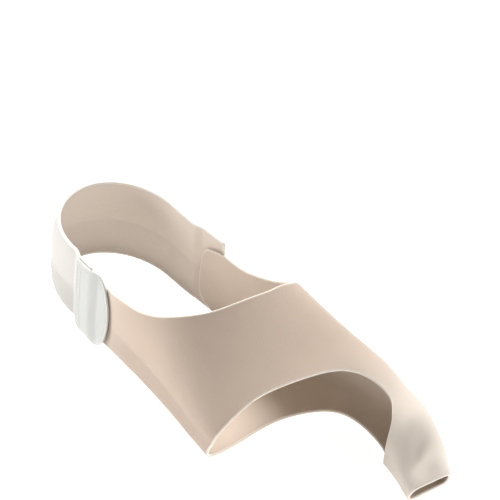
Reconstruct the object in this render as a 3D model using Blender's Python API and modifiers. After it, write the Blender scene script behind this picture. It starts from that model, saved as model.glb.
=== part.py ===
"""A bunion corrector for the right foot: a stretch-knit sleeve with a big-toe tube,
a heel strap and a rounded hook tab, in the shape that they have when worn.

Metres, +Z up. +X is the big-toe side, -Y is towards the toes. The origin is on the inner
face of the sole, in the middle of the band, where the ball stands.

A station is a distance from the back of the heel towards the toes. A section angle, in
degrees, goes round the band: 0 under the sole, 90 on the little-toe side, 180 on top,
270 on the big-toe side. Round the toe it goes the same way.
"""

from collections import namedtuple

import bpy
import numpy as np

# The last that the corrector is shaped on
LAST_LENGTH = 0.250
BALL_WIDTH = 0.0975
INSTEP_HEIGHT = 0.0645
HEEL_CENTRE = 0.038
HEEL_DEPTH = 0.0405
HEEL_SETBACK = 0.058

# The sleeve: the lateral and medial wings run back from the instep edge
SEAT_STATION = 0.135
SLEEVE_WALL = 0.0015
INSTEP_EDGE = 0.134
BALL_EDGE = 0.158
TOE_FORK = 0.192
TOE_TIP_EDGE = 0.2468
TOE_TIP_RAKE = 0.0065
TOE_TIP_TURN = 0.0012
WING_END = 0.047
INNER_WING_END = 0.066

# The strap and its tab, by the stations of their ends and the heights of their edges
STRAP_WALL = 0.0015
STRAP_TOP_BACK = 0.0500
STRAP_TOP_FRONT = 0.0462
STRAP_FOOT = 0.0035
STRAP_SEAM = 0.080
TAB_WALL = 0.0012
TAB_REAR = 0.0455
TAB_LAP = 0.010
TAB_LENGTH = 0.0267
TAB_NOSE = 0.0125
TAB_CURL = 0.0012
LAYER_GAP = 0.0004
LAYER_RAMP = 0.007
RAMP_CLEARANCE = 0.001

# Mesh counts
COLUMNS_PER_ROW = 3
BAND_ROWS = 14
TOE_ROWS = 16
FORK_COLUMNS = 16
STRAP_STEPS = 44
STRAP_COLUMNS = 8
TAB_STEPS = 12
TAB_COLUMNS = 14

# Squareness of the section's lower and upper halves
SOLE_SQUARE, INSTEP_SQUARE = 0.50, 0.08
TOE_SOLE_SQUARE, TOE_TOP_SQUARE = 0.30, 0.10
TOE_WAIST = 0.45
# Share of the tube's medial span that is left at its tip
TOE_FAN = 0.78
# How far the fork's ends are eased, and how often
FORK_EASE, FORK_EASE_PASSES = 0.007, 4
# How sharply the relief fades down the tube's sides
UPPER_SHARE = 1.8
HALF_TURN = 180.0

# Stations are shares of the last's length, widths of the ball's width and heights of the instep's
LastRow = namedtuple("LastRow", "station outer inner crest crest_shift waist")
LAST_SECTIONS = (
    LastRow(0.15, 0.320, 0.320, 1.70, 0.00, 0.36),
    LastRow(0.30, 0.358, 0.300, 1.54, 0.03, 0.33),
    LastRow(0.40, 0.384, 0.310, 1.26, 0.07, 0.31),
    LastRow(0.50, 0.420, 0.350, 1.00, 0.13, 0.28),
    LastRow(0.60, 0.466, 0.408, 0.77, 0.17, 0.25),
    LastRow(0.66, 0.488, 0.448, 0.655, 0.18, 0.24),
    LastRow(0.73, 0.473, 0.474, 0.56, 0.20, 0.24),
    LastRow(0.82, 0.423, 0.470, 0.44, 0.22, 0.22),
)

ToeRow = namedtuple("ToeRow", "station centre half top foot")
TOE_SECTIONS = (
    ToeRow(0.66, 0.255, 0.200, 0.66, 0.00),
    ToeRow(0.73, 0.285, 0.205, 0.585, 0.00),
    ToeRow(0.80, 0.320, 0.164, 0.47, 0.00),
    ToeRow(0.85, 0.320, 0.150, 0.43, 0.01),
    ToeRow(0.89, 0.292, 0.140, 0.405, 0.01),
    ToeRow(0.93, 0.260, 0.137, 0.32, 0.01),
    ToeRow(0.96, 0.223, 0.126, 0.26, 0.01),
    ToeRow(1.00, 0.180, 0.100, 0.19, 0.02),
)

# The sleeve's two edges, row by row round it. reach is the rear edge's share of the way
# from the wing's end to the instep edge, advance the front edge's share from the ball edge to
# the toe fork, and pull how far the fabric follows the tube and not the band.
EdgeRow = namedtuple("EdgeRow", "rear_angle reach front_angle advance pull")
SLEEVE_EDGES = (
    EdgeRow(0, 0.72, 0, 0.00, 0.0),
    EdgeRow(28, 0.70, 25, 0.02, 0.0),
    EdgeRow(42, 0.56, 45, 0.04, 0.0),
    EdgeRow(47, 0.34, 60, 0.07, 0.0),
    EdgeRow(50, 0.12, 70, 0.10, 0.0),
    EdgeRow(62, 0.02, 80, 0.14, 0.0),
    EdgeRow(92, 0.02, 90, 0.20, 0.0),
    EdgeRow(101, 0.11, 101, 0.24, 0.0),
    EdgeRow(103.3, 0.30, 109, 0.265, 0.0),
    EdgeRow(109.3, 0.54, 121, 0.285, 0.0),
    EdgeRow(122, 0.74, 137, 0.32, 0.0),
    EdgeRow(143, 0.91, 155, 0.44, 0.1),
    EdgeRow(171, 0.99, 174, 0.60, 0.6),
    EdgeRow(187, 1.00, 185, 0.78, 0.9),
    EdgeRow(202, 1.00, 192, 0.98, 1.0),
    EdgeRow(220, 0.96, 205, 1.00, 1.0),
    EdgeRow(241, 0.76, 226, 1.00, 1.0),
    EdgeRow(253, 0.47, 245, 1.00, 1.0),
    EdgeRow(257, 0.17, 259, 1.00, 1.0),
    EdgeRow(265, 0.00, 272, 1.00, 1.0),
    EdgeRow(296, 0.00, 287, 1.00, 1.0),
    EdgeRow(309, 0.16, 302, 1.00, 1.0),
    EdgeRow(315, 0.38, 318, 0.94, 1.0),
    EdgeRow(326, 0.55, 327, 0.62, 0.8),
    EdgeRow(341, 0.66, 340, 0.22, 0.3),
)
FORK_TOP_ROW, FORK_SOLE_ROW = 14, 22
WING_SPREAD = 0.8

# The opening's edge beside the toe tube, from under the tube up over its side.
# advance is its share of the way from the toe fork to the toe-tip edge.
ForkRow = namedtuple("ForkRow", "toe_angle advance")
FORK_EDGE = (
    ForkRow(360, -0.04),
    ForkRow(363, 0.10),
    ForkRow(369, 0.21),
    ForkRow(380, 0.32),
    ForkRow(396, 0.40),
    ForkRow(420, 0.455),
    ForkRow(450, 0.48),
    ForkRow(480, 0.465),
    ForkRow(502, 0.42),
    ForkRow(516, 0.35),
    ForkRow(528, 0.28),
    ForkRow(536, 0.20),
    ForkRow(540, 0.10),
    ForkRow(540, -0.01),
)
TOE_BLEND_START, TOE_BLEND_END = 0.67, 0.80

# The tube's upper side: a swelling, the dip in front of it, a fall to the outer side and a low
# swelling at the tip. Stations and spreads along are shares of the last's length, places and
# spreads across of the ball's width, heights of the instep's; turn is in degrees.
ReliefRow = namedtuple("ReliefRow", "station place along across turn height")
TOE_RELIEF = (
    ReliefRow(0.868, 0.300, 0.028, 0.090, 0, 0.022),
    ReliefRow(0.932, 0.215, 0.014, 0.066, 30, -0.050),
    ReliefRow(0.958, 0.160, 0.020, 0.045, 0, -0.016),
    ReliefRow(0.962, 0.270, 0.016, 0.055, 10, 0.016),
)

SLEEVE_FINISH = ((0.76, 0.66, 0.56), 0.85)
STRAP_FINISH = ((0.80, 0.71, 0.62), 0.85)
TAB_FINISH = ((0.84, 0.80, 0.72), 0.60)


def column(table, name):
    return np.array([getattr(row, name) for row in table], float)


def smooth_step(value):
    share = np.clip(value, 0.0, 1.0)
    return share * share * (3 - 2 * share)


def hermite(share, first, last, first_slope, last_slope):
    """Cubic between two values with given slopes per unit of share."""
    square, cube = share**2, share**3
    return (
        (2 * cube - 3 * square + 1) * first
        + (cube - 2 * square + share) * first_slope
        + (3 * square - 2 * cube) * last
        + (cube - square) * last_slope
    )


def through(table, name, shares):
    """A table's column as a smooth curve over its stations."""
    stations, values = column(table, "station"), column(table, name)
    slopes = np.gradient(values, stations)
    low = np.clip(np.searchsorted(stations, shares) - 1, 0, len(stations) - 2)
    span = stations[low + 1] - stations[low]
    share = np.clip((shares - stations[low]) / span, 0, 1)
    return hermite(share, values[low], values[low + 1], slopes[low] * span, slopes[low + 1] * span)


def round_ring(table, name, places, turn=0.0):
    """A table's column as a smooth closed curve over its rows, gaining turn each time round."""
    values = column(table, name)
    count = len(values)
    low = np.floor(places).astype(int)

    def row(index):
        return values[index % count] + turn * (index // count)

    ahead, behind = row(low + 1), row(low - 1)
    here, beyond = row(low), row(low + 2)
    return hermite(places - low, here, ahead, (ahead - behind) / 2, (beyond - here) / 2)


def along_rows(table, name, places):
    """A table's column as a smooth open curve over its rows."""
    values = column(table, name)
    slopes = np.gradient(values)
    low = np.clip(np.floor(places).astype(int), 0, len(values) - 2)
    return hermite(places - low, values[low], values[low + 1], slopes[low], slopes[low + 1])


def squared_ellipse(angle, square_below, square_above):
    """(sideways, down) shares of a rounded section, -1 to 1, squarer than an ellipse."""
    turned = np.radians(angle)
    side, down = np.sin(turned), np.cos(turned)
    square = np.where(down > 0, square_below, square_above)
    return side * (1 + square * down**2), down * (1 + square * side**2)


def last_section(station, angle):
    """x and z of the last at a station and section angle."""
    share = station / LAST_LENGTH
    crest = through(LAST_SECTIONS, "crest", share) * INSTEP_HEIGHT
    waist = through(LAST_SECTIONS, "waist", share) * INSTEP_HEIGHT
    side, down = squared_ellipse(angle, SOLE_SQUARE, INSTEP_SQUARE)
    outer, inner = through(LAST_SECTIONS, "outer", share), through(LAST_SECTIONS, "inner", share)
    x = -side * np.where(side > 0, outer, inner) * BALL_WIDTH
    z = waist - down * np.where(down > 0, waist, crest - waist)
    rise = np.clip((z - waist) / (crest - waist), 0, None)
    return x + through(LAST_SECTIONS, "crest_shift", share) * BALL_WIDTH * rise**2, z


def toe_section(station, angle):
    """x and z of the toe tube's inner face."""
    share = station / LAST_LENGTH
    top = through(TOE_SECTIONS, "top", share) * INSTEP_HEIGHT
    foot = through(TOE_SECTIONS, "foot", share) * INSTEP_HEIGHT
    waist = foot + TOE_WAIST * (top - foot)
    side, down = squared_ellipse(angle, TOE_SOLE_SQUARE, TOE_TOP_SQUARE)
    x = through(TOE_SECTIONS, "centre", share) - side * through(TOE_SECTIONS, "half", share)
    return x * BALL_WIDTH, waist - down * np.where(down > 0, waist - foot, top - waist)


def on_last(station, angle, toe_angle, pull):
    """Points on the last, passing from the band's form to the toe tube's."""
    share = (station / LAST_LENGTH - TOE_BLEND_START) / (TOE_BLEND_END - TOE_BLEND_START)
    toe = smooth_step(share) * pull
    band_x, band_z = last_section(station, angle)
    toe_x, toe_z = toe_section(station, toe_angle)
    x, z = band_x + toe * (toe_x - band_x), band_z + toe * (toe_z - band_z)
    return np.stack([x, SEAT_STATION - station, z], axis=-1)


def heel_quarter():
    """Length of the path from the back of the heel to its widest station."""
    x, _ = last_section(np.array(HEEL_CENTRE), np.array(90.0))
    return np.pi / 4 * (HEEL_DEPTH - x)


def path_at(station):
    """Distance along the strap's path from the back of the heel to a station on a side."""
    return heel_quarter() + station - HEEL_CENTRE


def round_heel(path, angle):
    """Points on the last round the heel: path is below 0 on the outer side, above 0 on the inner."""
    quarter = heel_quarter()
    station = HEEL_CENTRE + np.clip(np.abs(path) - quarter, 0, None)
    round_angle = np.where(path < 0, angle, 2 * HALF_TURN - angle)
    x, z = last_section(station, round_angle)
    turn = np.clip(path / quarter, -1, 1) * np.pi / 2
    side, _ = squared_ellipse(angle, SOLE_SQUARE, INSTEP_SQUARE)
    crest = LAST_SECTIONS[0].crest * INSTEP_HEIGHT
    waist = LAST_SECTIONS[0].waist * INSTEP_HEIGHT
    rise = np.clip((z - waist) / (crest - waist), 0, None)
    depth = HEEL_DEPTH * side - HEEL_SETBACK * rise**2
    y = SEAT_STATION - station + depth * np.cos(turn)
    return np.stack([x * np.abs(np.sin(turn)), y, z], axis=-1)


def angle_at_height(path, height):
    """Section angle at which the last on the strap's path has a height."""
    angles = np.linspace(0, HALF_TURN, 181)
    heights = round_heel(np.full_like(angles, path), angles)[:, 2]
    return np.interp(height, heights, angles)


def lifted(points, lift):
    """A grid of points moved out along its normals by a lift of its own at each point."""
    across, along = np.gradient(points, axis=1), np.gradient(points, axis=0)
    normal = np.cross(along, across)
    normal /= np.linalg.norm(normal, axis=-1, keepdims=True)
    return points + normal * lift[..., None]


def strap_lift(path):
    """How far the strap stands off the last: over each wing of the sleeve by its wall."""
    over = SLEEVE_WALL + LAYER_GAP
    lift = np.zeros_like(path)
    for side, wing_end in ((-1, WING_END), (1, INNER_WING_END)):
        full = path_at(wing_end) - RAMP_CLEARANCE
        lift += over * smooth_step((side * path - full + LAYER_RAMP) / LAYER_RAMP)
    return lift


def strap_top(path):
    """Height of the strap's upper edge: highest behind the heel."""
    forward = smooth_step(np.abs(path) / path_at(TAB_REAR + TAB_LAP))
    return STRAP_TOP_BACK + (STRAP_TOP_FRONT - STRAP_TOP_BACK) * forward


def quad_rows(first_index, rows, columns, closed=False):
    """Faces of a grid of vertices stored row by row."""
    faces = []
    for row in range(rows - 1):
        for left in range(columns if closed else columns - 1):
            right = (left + 1) % columns
            here, there = first_index + row * columns, first_index + (row + 1) * columns
            faces.append((here + left, there + left, there + right, here + right))
    return faces


def fabric(name, vertices, faces, wall, finish):
    """A wall of fabric on its inner face, as one object with its own material."""
    mesh = bpy.data.meshes.new(name)
    mesh.from_pydata([tuple(point) for point in vertices], [], faces)
    mesh.shade_smooth()
    colour, roughness = finish
    material = bpy.data.materials.new(name)
    material.use_nodes = True
    shader = material.node_tree.nodes["Principled BSDF"]
    shader.inputs["Base Color"].default_value = (*colour, 1.0)
    shader.inputs["Roughness"].default_value = roughness
    shader.inputs["Metallic"].default_value = 0.0
    mesh.materials.append(material)
    piece = bpy.data.objects.new(name, mesh)
    solidify = piece.modifiers.new("wall", "SOLIDIFY")
    solidify.thickness = wall
    solidify.offset = 1.0
    solidify.use_even_offset = False
    return piece


def toe_angle_of(front_angle):
    """Angle on the toe tube that a column of the band's ring runs to."""
    top = SLEEVE_EDGES[FORK_TOP_ROW].front_angle
    sole = SLEEVE_EDGES[FORK_SOLE_ROW].front_angle
    return HALF_TURN * (1 + (front_angle - top) / (sole - top))


def band_grid():
    """The band's inner face as rows of points from its rear edge to its front edge."""
    places = np.arange(len(SLEEVE_EDGES) * COLUMNS_PER_ROW) / COLUMNS_PER_ROW
    rear_angle = round_ring(SLEEVE_EDGES, "rear_angle", places, 2 * HALF_TURN)
    front_angle = round_ring(SLEEVE_EDGES, "front_angle", places, 2 * HALF_TURN)
    reach = round_ring(SLEEVE_EDGES, "reach", places)
    advance = round_ring(SLEEVE_EDGES, "advance", places)
    pull = np.clip(round_ring(SLEEVE_EDGES, "pull", places), 0, 1)
    inner_share = smooth_step(0.5 - WING_SPREAD * np.sin(np.radians(rear_angle)))
    wing_end = WING_END + inner_share * (INNER_WING_END - WING_END)
    rear = wing_end + reach * (INSTEP_EDGE - wing_end)
    front = BALL_EDGE + advance * (TOE_FORK - BALL_EDGE)
    share = np.linspace(0, 1, BAND_ROWS + 1)[:, None]
    station = rear + share * (front - rear)
    angle = rear_angle + share * (front_angle - rear_angle)
    return on_last(station, angle, toe_angle_of(front_angle), pull), front_angle, front


def toe_rows(start_station, start_angle, end_angle, ring_angle):
    """The toe tube's rows in front of its start, for a run of columns."""
    share = np.linspace(0, 1, TOE_ROWS + 1)[1:, None]
    side, down = squared_ellipse(end_angle, 0, 0)
    tip = TOE_TIP_EDGE - TOE_TIP_TURN * side - TOE_TIP_RAKE * (1 + down) / 2
    station = start_station + share * (tip - start_station)
    toe_angle = start_angle + (1 - (1 - share) ** 3) * (end_angle - start_angle)
    return on_last(station, ring_angle, toe_angle, 1.0)


def relaxed(points, faces, centres):
    """Points eased towards the middle of their neighbours near the ends of the toe fork, where an
    edge point only follows the edge."""
    ahead = np.roll(faces, -1, axis=1)
    ends = np.sort(np.stack([faces.ravel(), ahead.ravel()], axis=1), axis=1)
    edges, uses = np.unique(ends, axis=0, return_counts=True)
    on_edge = np.zeros(len(points), bool)
    on_edge[edges[uses == 1]] = True
    pairs = np.concatenate([edges, edges[:, ::-1]])
    kept = ~on_edge[pairs[:, 0]] | np.tile(uses == 1, 2)
    here, there = pairs[kept].T
    gap = np.linalg.norm(points[:, None] - centres, axis=2).min(axis=1)
    weight = np.exp(-((gap / FORK_EASE) ** 2))[:, None]
    count = np.bincount(here, minlength=len(points))[:, None]
    for _ in range(FORK_EASE_PASSES):
        total = np.zeros_like(points)
        np.add.at(total, here, points[there])
        points = points + weight * (total / count - points) / 2
    return points


def over_the_toe(points):
    """Points of the tube's upper side, raised or sunk by the relief."""
    share = (SEAT_STATION - points[:, 1]) / LAST_LENGTH
    top = through(TOE_SECTIONS, "top", share) * INSTEP_HEIGHT
    rise = np.zeros(len(points))
    for row in TOE_RELIEF:
        turn = np.radians(row.turn)
        x = points[:, 0] - row.place * BALL_WIDTH
        y = (row.station - share) * LAST_LENGTH
        across = (x * np.cos(turn) + y * np.sin(turn)) / (row.across * BALL_WIDTH)
        along = (y * np.cos(turn) - x * np.sin(turn)) / (row.along * LAST_LENGTH)
        rise += row.height * INSTEP_HEIGHT * np.exp(-(across**2 + along**2) / 2)
    upper = smooth_step(UPPER_SHARE * points[:, 2] / top + 1 - UPPER_SHARE)
    return points + np.stack([0 * rise, 0 * rise, rise * upper], axis=1)


def make_sleeve():
    """The band, its wings and the big-toe tube, in one piece."""
    band, front_angle, front = band_grid()
    ring = band.shape[1]
    vertices = list(band.reshape(-1, 3))
    faces = quad_rows(0, BAND_ROWS + 1, ring, closed=True)

    top, sole = FORK_TOP_ROW * COLUMNS_PER_ROW, FORK_SOLE_ROW * COLUMNS_PER_ROW
    shared = np.arange(top, sole + 1)
    shared_angle = toe_angle_of(front_angle[shared])
    middle = 1.5 * HALF_TURN
    shared_end = middle + (shared_angle - middle) * TOE_FAN
    shared_rows = toe_rows(front[shared], shared_angle, shared_end, front_angle[shared])

    place = np.linspace(0, 1, FORK_COLUMNS + 2)[1:-1]
    rows_place = place * (len(FORK_EDGE) - 1)
    fork_angle = along_rows(FORK_EDGE, "toe_angle", rows_place)
    fork_station = TOE_FORK + along_rows(FORK_EDGE, "advance", rows_place) * (TOE_TIP_EDGE - TOE_FORK)
    tip_angle = shared_end[-1] + place * (2 * HALF_TURN + shared_end[0] - shared_end[-1])
    ring_angle = front_angle[sole] + place * (front_angle[top] - front_angle[sole])
    fork_start = on_last(fork_station, ring_angle, fork_angle, 1.0)
    fork_rows = toe_rows(fork_station, fork_angle, tip_angle, ring_angle)

    start_ring = list(BAND_ROWS * ring + shared)
    start_ring += list(range(len(vertices), len(vertices) + FORK_COLUMNS))
    vertices += list(fork_start)
    first_row = len(vertices)
    width = len(start_ring)
    vertices += list(np.concatenate([shared_rows, fork_rows], axis=1).reshape(-1, 3))
    for left in range(width):
        right = (left + 1) % width
        faces.append((start_ring[left], first_row + left, first_row + right, start_ring[right]))
    faces += quad_rows(first_row, TOE_ROWS, width, closed=True)
    fork_ends = band[-1, [top, sole]]
    vertices = over_the_toe(relaxed(np.array(vertices), np.array(faces), fork_ends))
    return fabric("foot_sleeve", vertices, faces, SLEEVE_WALL, SLEEVE_FINISH)


def make_strap():
    """The strap round the heel, lapped over the inner wing and under the tab."""
    outer_end, inner_end = path_at(TAB_REAR + TAB_LAP), path_at(STRAP_SEAM)
    paths = np.linspace(inner_end, -outer_end, STRAP_STEPS + 1)
    low = np.array([angle_at_height(path, STRAP_FOOT) for path in paths])
    high = np.array([angle_at_height(path, strap_top(path)) for path in paths])
    angles = np.linspace(low, high, STRAP_COLUMNS + 1, axis=1)
    paths = np.broadcast_to(paths[:, None], angles.shape)
    points = lifted(round_heel(paths, angles), strap_lift(paths))
    faces = quad_rows(0, STRAP_STEPS + 1, STRAP_COLUMNS + 1)
    return fabric("heel_strap", points.reshape(-1, 3), faces, STRAP_WALL, STRAP_FINISH)


def make_tab():
    """The rounded hook tab, sewn over the strap's outer end and closed on the outer wing."""
    rises = (1 - np.cos(np.linspace(0, np.pi, TAB_COLUMNS + 1))) / 2
    ends = TAB_LENGTH - TAB_NOSE * (1 - np.sqrt(1 - (2 * rises - 1) ** 2))
    shares = np.linspace(0, 1, TAB_STEPS + 1)[:, None]
    paths = -path_at(TAB_REAR) - shares * ends
    heights = STRAP_FOOT + rises * (strap_top(paths) - STRAP_FOOT)
    angles = np.array([
        [angle_at_height(path, height) for path, height in zip(*row)]
        for row in zip(paths, heights)
    ])
    step_start = path_at(TAB_REAR + TAB_LAP) + RAMP_CLEARANCE
    step_down = smooth_step((-paths - step_start) / LAYER_RAMP)
    curl = TAB_CURL * shares * (1 - rises) ** 2
    lift = SLEEVE_WALL + LAYER_GAP + (STRAP_WALL + LAYER_GAP) * (1 - step_down) + curl
    points = lifted(round_heel(paths, angles), lift)
    faces = quad_rows(0, TAB_STEPS + 1, TAB_COLUMNS + 1)
    return fabric("hook_tab", points.reshape(-1, 3), faces, TAB_WALL, TAB_FINISH)


def main():
    for old in list(bpy.data.objects):
        bpy.data.objects.remove(old)
    corrector = bpy.data.collections.new("bunion_corrector")
    bpy.context.scene.collection.children.link(corrector)
    for piece in (make_sleeve(), make_strap(), make_tab()):
        corrector.objects.link(piece)


main()
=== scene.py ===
"""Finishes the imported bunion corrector: stretch knit with rounded cut edges, a sewn heel strap,
a stitched hook tab, and the stage that it is shown on.

Metres, +Z up. +X is the big-toe side, -Y is towards the toes. A station is a distance from the
back of the heel towards the toes. A section angle, in degrees, goes round the band: 0 under the
sole, 90 on the little-toe side, 180 on top, 270 on the big-toe side.
"""

from collections import namedtuple

import bpy
import numpy as np
from bpy.props import FloatProperty, FloatVectorProperty, PointerProperty
from mathutils import Matrix, Vector


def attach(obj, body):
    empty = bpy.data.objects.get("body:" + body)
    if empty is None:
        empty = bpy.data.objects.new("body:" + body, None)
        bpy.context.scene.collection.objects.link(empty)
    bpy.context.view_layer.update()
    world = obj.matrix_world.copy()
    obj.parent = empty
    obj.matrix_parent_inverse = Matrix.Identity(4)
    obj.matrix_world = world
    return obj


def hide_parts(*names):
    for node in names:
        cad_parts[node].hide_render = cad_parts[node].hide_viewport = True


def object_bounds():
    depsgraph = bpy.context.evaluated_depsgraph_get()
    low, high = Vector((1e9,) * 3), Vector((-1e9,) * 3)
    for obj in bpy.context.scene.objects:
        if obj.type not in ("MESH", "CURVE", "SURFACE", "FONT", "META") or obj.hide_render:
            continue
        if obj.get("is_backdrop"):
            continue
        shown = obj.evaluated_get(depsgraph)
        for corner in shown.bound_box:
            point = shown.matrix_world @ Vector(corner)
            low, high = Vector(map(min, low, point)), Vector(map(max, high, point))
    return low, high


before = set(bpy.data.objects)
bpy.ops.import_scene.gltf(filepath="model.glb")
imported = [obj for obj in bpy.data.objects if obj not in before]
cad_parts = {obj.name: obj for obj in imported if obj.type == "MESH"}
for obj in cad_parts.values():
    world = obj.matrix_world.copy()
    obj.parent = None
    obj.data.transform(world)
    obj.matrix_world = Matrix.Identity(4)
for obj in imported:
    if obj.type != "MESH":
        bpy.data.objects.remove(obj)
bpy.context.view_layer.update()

bl_info = {
    "name": "Bunion corrector",
    "version": (1, 0, 0),
    "blender": (4, 5, 0),
    "location": "View3D > Sidebar > Corrector",
    "description": "Builds a worn bunion corrector: sleeve, heel strap, hook tab and stage",
    "category": "Object",
}

BODY = "root"

# The last that the corrector is shaped on
LAST_LENGTH = 0.250
BALL_WIDTH = 0.0975
INSTEP_HEIGHT = 0.0645
HEEL_CENTRE = 0.038
HEEL_DEPTH = 0.0405
HEEL_SETBACK = 0.058

# The sleeve: the lateral and medial wings run back from the instep edge
SEAT_STATION = 0.135
SLEEVE_WALL = 0.0015
INSTEP_EDGE = 0.134
BALL_EDGE = 0.158
TOE_FORK = 0.192
TOE_TIP_EDGE = 0.2468
TOE_TIP_RAKE = 0.0065
TOE_TIP_TURN = 0.0012
WING_END = 0.047
INNER_WING_END = 0.066

# The strap and its tab, by the stations of their ends and the heights of their edges
STRAP_WALL = 0.0015
STRAP_TOP_BACK = 0.0500
STRAP_TOP_FRONT = 0.0462
STRAP_FOOT = 0.0035
STRAP_SEAM = 0.080
TAB_WALL = 0.0012
TAB_REAR = 0.0455
TAB_LAP = 0.010
TAB_LENGTH = 0.0267
TAB_NOSE = 0.0125
TAB_CURL = 0.0012
LAYER_GAP = 0.0004
LAYER_RAMP = 0.007
RAMP_CLEARANCE = 0.001

# Mesh counts
COLUMNS_PER_ROW = 8
BAND_ROWS = 60
TOE_ROWS = 44
FORK_COLUMNS = 48
STRAP_STEPS = 200
STRAP_COLUMNS = 40
TAB_STEPS = 40
TAB_COLUMNS = 48

# Squareness of the section's lower and upper halves
SOLE_SQUARE, INSTEP_SQUARE = 0.50, 0.08
TOE_SOLE_SQUARE, TOE_TOP_SQUARE = 0.30, 0.10
TOE_WAIST = 0.45
# Share of the tube's medial span that is left at its tip
TOE_FAN = 0.78
# How far the fork's ends are eased, and how often
FORK_EASE, FORK_EASE_PASSES = 0.011, 45
# How sharply the relief fades down the tube's sides
UPPER_SHARE = 1.8
HALF_TURN = 180.0

# Stations are shares of the last's length, widths of the ball's width and heights of the instep's
LastRow = namedtuple("LastRow", "station outer inner crest crest_shift waist")
LAST_SECTIONS = (
    LastRow(0.15, 0.320, 0.320, 1.70, 0.00, 0.36),
    LastRow(0.30, 0.358, 0.300, 1.54, 0.03, 0.33),
    LastRow(0.40, 0.384, 0.310, 1.26, 0.07, 0.31),
    LastRow(0.50, 0.420, 0.350, 1.00, 0.13, 0.28),
    LastRow(0.60, 0.466, 0.408, 0.77, 0.17, 0.25),
    LastRow(0.66, 0.488, 0.448, 0.655, 0.18, 0.24),
    LastRow(0.73, 0.473, 0.474, 0.56, 0.20, 0.24),
    LastRow(0.82, 0.423, 0.470, 0.44, 0.22, 0.22),
)

ToeRow = namedtuple("ToeRow", "station centre half top foot")
TOE_SECTIONS = (
    ToeRow(0.66, 0.255, 0.200, 0.66, 0.00),
    ToeRow(0.73, 0.285, 0.205, 0.585, 0.00),
    ToeRow(0.80, 0.320, 0.164, 0.47, 0.00),
    ToeRow(0.85, 0.320, 0.150, 0.43, 0.01),
    ToeRow(0.89, 0.292, 0.140, 0.405, 0.01),
    ToeRow(0.93, 0.260, 0.137, 0.32, 0.01),
    ToeRow(0.96, 0.223, 0.126, 0.26, 0.01),
    ToeRow(1.00, 0.180, 0.100, 0.19, 0.02),
)

# The sleeve's two edges, row by row round it. reach is the rear edge's share of the way
# from the wing's end to the instep edge, advance the front edge's share from the ball edge to
# the toe fork, and pull how far the fabric follows the tube and not the band.
EdgeRow = namedtuple("EdgeRow", "rear_angle reach front_angle advance pull")
SLEEVE_EDGES = (
    EdgeRow(0, 0.72, 0, 0.00, 0.0),
    EdgeRow(28, 0.70, 25, 0.02, 0.0),
    EdgeRow(42, 0.56, 45, 0.04, 0.0),
    EdgeRow(47, 0.34, 60, 0.07, 0.0),
    EdgeRow(50, 0.12, 70, 0.10, 0.0),
    EdgeRow(62, 0.02, 80, 0.14, 0.0),
    EdgeRow(92, 0.02, 90, 0.20, 0.0),
    EdgeRow(101, 0.11, 101, 0.24, 0.0),
    EdgeRow(103.3, 0.30, 109, 0.265, 0.0),
    EdgeRow(109.3, 0.54, 121, 0.285, 0.0),
    EdgeRow(122, 0.74, 137, 0.32, 0.0),
    EdgeRow(143, 0.91, 155, 0.44, 0.1),
    EdgeRow(171, 0.99, 174, 0.60, 0.6),
    EdgeRow(187, 1.00, 185, 0.78, 0.9),
    EdgeRow(202, 1.00, 192, 0.98, 1.0),
    EdgeRow(220, 0.96, 205, 1.00, 1.0),
    EdgeRow(241, 0.76, 226, 1.00, 1.0),
    EdgeRow(253, 0.47, 245, 1.00, 1.0),
    EdgeRow(257, 0.17, 259, 1.00, 1.0),
    EdgeRow(265, 0.00, 272, 1.00, 1.0),
    EdgeRow(296, 0.00, 287, 1.00, 1.0),
    EdgeRow(309, 0.16, 302, 1.00, 1.0),
    EdgeRow(315, 0.38, 318, 0.94, 1.0),
    EdgeRow(326, 0.55, 327, 0.62, 0.8),
    EdgeRow(341, 0.66, 340, 0.22, 0.3),
)
FORK_TOP_ROW, FORK_SOLE_ROW = 14, 22
WING_SPREAD = 0.8

# The opening's edge beside the toe tube, from under the tube up over its side.
# advance is its share of the way from the toe fork to the toe-tip edge.
ForkRow = namedtuple("ForkRow", "toe_angle advance")
FORK_EDGE = (
    ForkRow(360, -0.04),
    ForkRow(363, 0.10),
    ForkRow(369, 0.21),
    ForkRow(380, 0.32),
    ForkRow(396, 0.40),
    ForkRow(420, 0.455),
    ForkRow(450, 0.48),
    ForkRow(480, 0.465),
    ForkRow(502, 0.42),
    ForkRow(516, 0.35),
    ForkRow(528, 0.28),
    ForkRow(536, 0.20),
    ForkRow(540, 0.10),
    ForkRow(540, -0.01),
)
TOE_BLEND_START, TOE_BLEND_END = 0.67, 0.80

# The tube's upper side: a swelling, the dip in front of it, a fall to the outer side and a low
# swelling at the tip. Stations and spreads along are shares of the last's length, places and
# spreads across of the ball's width, heights of the instep's; turn is in degrees.
ReliefRow = namedtuple("ReliefRow", "station place along across turn height")
TOE_RELIEF = (
    ReliefRow(0.868, 0.300, 0.028, 0.090, 0, 0.022),
    ReliefRow(0.932, 0.215, 0.014, 0.066, 30, -0.050),
    ReliefRow(0.958, 0.160, 0.020, 0.045, 0, -0.016),
    ReliefRow(0.962, 0.270, 0.016, 0.055, 10, 0.016),
)

# How the fabric is finished: its rounded cut edge, and where it is paler, partly drawn out and
# partly painted light
EDGE_STEPS = 6
EDGE_BULGE = 0.35
EDGE_SWELL = 0.04
EDGE_WIDTH = 0.0016
TOE_LIT_STRETCH_START, TOE_LIT_STRETCH_END = 0.165, 0.225
WING_LIT_STRETCH, WING_LIT_STRETCH_END = 0.6, 0.095
SLEEVE_GIRTH, TOE_GIRTH, TOE_KNIT_START = 0.2352, 0.1072, 0.1397
CHUNK = 2000

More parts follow.
